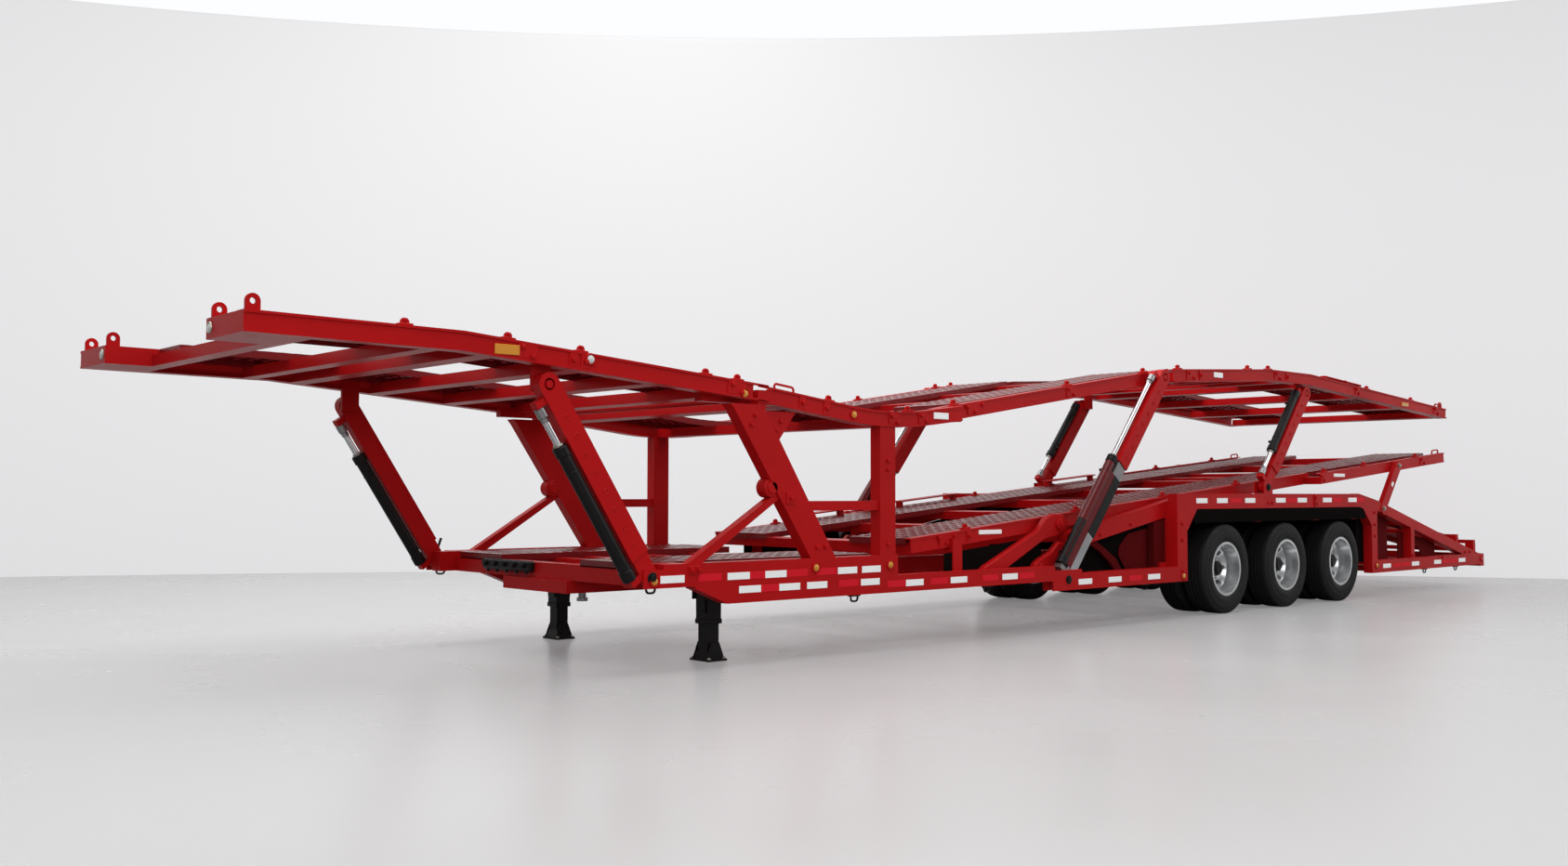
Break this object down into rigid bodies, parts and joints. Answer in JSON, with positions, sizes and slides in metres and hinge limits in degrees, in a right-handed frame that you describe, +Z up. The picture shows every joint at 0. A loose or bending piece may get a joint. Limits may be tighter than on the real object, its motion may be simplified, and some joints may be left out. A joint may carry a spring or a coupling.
{
  "type": "car transporter semi-trailer",
  "caption": "Long red two-deck vehicle carrier semi-trailer on landing legs: open perforated decks on sloping lift posts, low coupler, twin-tyred axles under wheel arches, sloping tail.",
  "frame": {"origin": "on the ground, at the middle of the trailer's length and width", "axes": "+X towards the rear end, +Y towards the right side of the trailer, +Z up"},
  "size_m": [14.1331, 2.6, 2.19],
  "materials": {
    "red_paint": "gloss",
    "track_paint": "satin",
    "black_paint": "satin",
    "bare_steel": "worn",
    "chrome": "polished",
    "silver_paint": "satin",
    "tyre_rubber": "matte"
  },
  "bodies": {
    "chassis": {"front_platform": "red_paint", "platform_tracks": "track_paint", "coupler_frame": "red_paint", "kingpin": "bare_steel", "side_beam_left": "red_paint", "side_beam_right": "red_paint", "arch_frame_left": "red_paint", "arch_frame_right": "red_paint", "middle_frame": "red_paint", "floor_frame": "red_paint", "axles": "black_paint", "suspension": "black_paint", "landing_leg_left": "black_paint", "landing_leg_right": "black_paint", "portal_left": "red_paint", "portal_right": "red_paint", "bridge_frame": "red_paint", "bridge_tracks": "track_paint", "tail_frame": "red_paint", "tail_crosses": "red_paint", "tail_tracks": "track_paint"},
    "front_deck": {"front_deck_frame": "red_paint", "front_deck_tracks": "track_paint"},
    "front_lift_lower": {"front_lift_stems": "red_paint", "front_lift_barrels": "black_paint"},
    "front_lift_upper": {"front_lift_sleeves": "red_paint", "front_lift_rods": "chrome"},
    "mid_deck": {"mid_deck_frame": "red_paint", "mid_deck_tracks": "track_paint"},
    "leaf_deck": {"leaf_deck_frame": "red_paint", "leaf_deck_crosses": "red_paint", "leaf_deck_tracks": "track_paint"},
    "long_lift_lower": {"long_lift_stems": "bare_steel", "long_lift_barrels": "black_paint"},
    "long_lift_upper": {"long_lift_sleeves": "red_paint", "long_lift_rods": "chrome"},
    "rear_lift_lower": {"rear_lift_stems": "red_paint", "rear_lift_rods": "chrome"},
    "rear_lift_upper": {"rear_lift_sleeves": "red_paint", "rear_lift_barrels": "black_paint"},
    "tilt_deck": {"tilt_deck_frame": "red_paint", "tilt_deck_tracks": "track_paint"},
    "support_arms": {"support_arms": "red_paint"},
    "ramp_left": {"loading_ramp_left": "red_paint"},
    "ramp_right": {"loading_ramp_right": "red_paint"},
    "wheels_front_axle_left": {"tyres_front_axle_left": "tyre_rubber", "rims_front_axle_left": "silver_paint"},
    "wheels_front_axle_right": {"tyres_front_axle_right": "tyre_rubber", "rims_front_axle_right": "silver_paint"},
    "wheels_middle_axle_left": {"tyres_middle_axle_left": "tyre_rubber", "rims_middle_axle_left": "silver_paint"},
    "wheels_middle_axle_right": {"tyres_middle_axle_right": "tyre_rubber", "rims_middle_axle_right": "silver_paint"},
    "wheels_rear_axle_left": {"tyres_rear_axle_left": "tyre_rubber", "rims_rear_axle_left": "silver_paint"},
    "wheels_rear_axle_right": {"tyres_rear_axle_right": "tyre_rubber", "rims_rear_axle_right": "silver_paint"}
  },
  "joints": [
    {"name": "front_deck_hinge", "type": "hinge", "parent": "chassis", "child": "front_deck", "pos_m": [-3.884, 0, 1.64], "axis": [0, 1, 0], "range_deg": [-2, 9]},
    {"name": "front_lift_swing", "type": "hinge", "parent": "chassis", "child": "front_lift_lower", "pos_m": [-4.724, 0, 0.565], "axis": [0, 1, 0], "range_deg": [-1.26, 5.68]},
    {"name": "front_lift_extend", "type": "slide", "parent": "front_lift_lower", "child": "front_lift_upper", "axis": [-0.5402, 0, 0.8416], "range_m": [-0.04429, 0.19931]},
    {"name": "rear_deck_hinge", "type": "hinge", "parent": "chassis", "child": "mid_deck", "pos_m": [-2.104, 0, 1.6], "axis": [0, -1, 0], "range_deg": [-2, 8]},
    {"name": "leaf_hinge", "type": "hinge", "parent": "mid_deck", "child": "leaf_deck", "pos_m": [0.716, 0, 2.02], "axis": [0, -1, 0], "range_deg": [-8, 2]},
    {"name": "long_lift_swing", "type": "hinge", "parent": "chassis", "child": "long_lift_lower", "pos_m": [-0.794, 0, 0.395], "axis": [0, -1, 0], "range_deg": [-1.85, 7.4]},
    {"name": "long_lift_extend", "type": "slide", "parent": "long_lift_lower", "child": "long_lift_upper", "axis": [0.6432, 0, 0.7657], "range_m": [-0.0618, 0.24721]},
    {"name": "rear_lift_swing", "type": "hinge", "parent": "chassis", "child": "rear_lift_lower", "pos_m": [2.226, 0, 1.11], "axis": [0, -1, 0], "range_deg": [-3.26, 13.03]},
    {"name": "rear_lift_extend", "type": "slide", "parent": "rear_lift_lower", "child": "rear_lift_upper", "axis": [0.6473, 0, 0.7623], "range_m": [-0.0678, 0.2712]},
    {"name": "tilt_deck_hinge", "type": "hinge", "parent": "chassis", "child": "tilt_deck", "pos_m": [-1.864, 0, 0.69], "axis": [0, -1, 0], "range_deg": [-0.5, 0.5]},
    {"name": "support_arm_swing", "type": "hinge", "parent": "chassis", "child": "support_arms", "pos_m": [4.536, 0, 0.9], "axis": [0, -1, 0], "range_deg": [-9.5, 9.5]},
    {"name": "ramp_left_slide", "type": "slide", "parent": "chassis", "child": "ramp_left", "axis": [0.9882, 0, -0.1534], "range_m": [0, 1.5]},
    {"name": "ramp_right_slide", "type": "slide", "parent": "chassis", "child": "ramp_right", "axis": [0.9882, 0, -0.1534], "range_m": [0, 1.5]},
    {"name": "front_axle_left_spin", "type": "hinge", "parent": "chassis", "child": "wheels_front_axle_left", "pos_m": [1.526, -1.045, 0.393], "axis": [0, 1, 0], "continuous": true},
    {"name": "front_axle_right_spin", "type": "hinge", "parent": "chassis", "child": "wheels_front_axle_right", "pos_m": [1.526, 1.045, 0.393], "axis": [0, 1, 0], "continuous": true},
    {"name": "middle_axle_left_spin", "type": "hinge", "parent": "chassis", "child": "wheels_middle_axle_left", "pos_m": [2.586, -1.045, 0.393], "axis": [0, 1, 0], "continuous": true},
    {"name": "middle_axle_right_spin", "type": "hinge", "parent": "chassis", "child": "wheels_middle_axle_right", "pos_m": [2.586, 1.045, 0.393], "axis": [0, 1, 0], "continuous": true},
    {"name": "rear_axle_left_spin", "type": "hinge", "parent": "chassis", "child": "wheels_rear_axle_left", "pos_m": [3.646, -1.045, 0.393], "axis": [0, 1, 0], "continuous": true},
    {"name": "rear_axle_right_spin", "type": "hinge", "parent": "chassis", "child": "wheels_rear_axle_right", "pos_m": [3.646, 1.045, 0.393], "axis": [0, 1, 0], "continuous": true}
  ],
  "couplings": [
    {"joint": "front_lift_swing", "follows": "front_deck_hinge", "ratio": 0.63077},
    {"joint": "front_lift_extend", "follows": "front_deck_hinge", "m_per_rad": 1.2689},
    {"joint": "leaf_hinge", "follows": "rear_deck_hinge", "ratio": -1},
    {"joint": "long_lift_swing", "follows": "rear_deck_hinge", "ratio": 0.92509},
    {"joint": "long_lift_extend", "follows": "rear_deck_hinge", "m_per_rad": 1.7705},
    {"joint": "rear_lift_swing", "follows": "rear_deck_hinge", "ratio": 1.6293},
    {"joint": "rear_lift_extend", "follows": "rear_deck_hinge", "m_per_rad": 1.9424},
    {"joint": "support_arm_swing", "follows": "tilt_deck_hinge", "ratio": 19}
  ]
}
